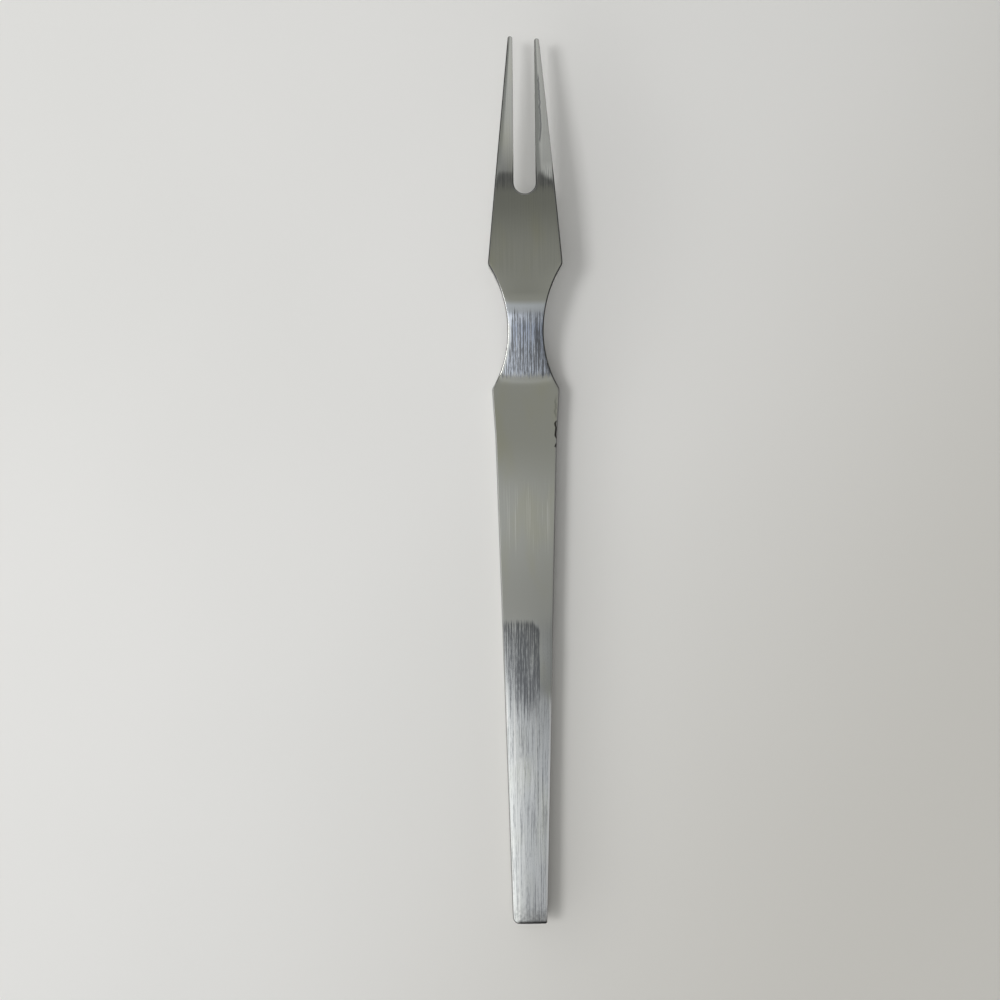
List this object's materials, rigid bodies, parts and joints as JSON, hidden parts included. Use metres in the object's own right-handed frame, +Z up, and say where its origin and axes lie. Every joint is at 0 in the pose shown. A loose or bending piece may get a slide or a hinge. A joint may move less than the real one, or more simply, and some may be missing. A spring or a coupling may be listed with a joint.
{
  "type": "appetizer fork",
  "caption": "Slim two-tine steel fork with a flat tapered handle, a scalloped neck and a parallel slot between its tines, for picking up small bites.",
  "frame": {"origin": "on the table plane under the fork, half way along its length and on its centre line", "axes": "+Y from the handle's end to the tines, +X to the right seen from above, +Z up out of the fork's back"},
  "size_m": [0.0142, 0.1702, 0.0065],
  "materials": {
    "steel": "brushed lengthwise, with fine scratches from use"
  },
  "bodies": {
    "root": {"handle": "steel", "neck": "steel", "head": "steel", "left_tine": "steel", "right_tine": "steel"}
  },
  "joints": []
}
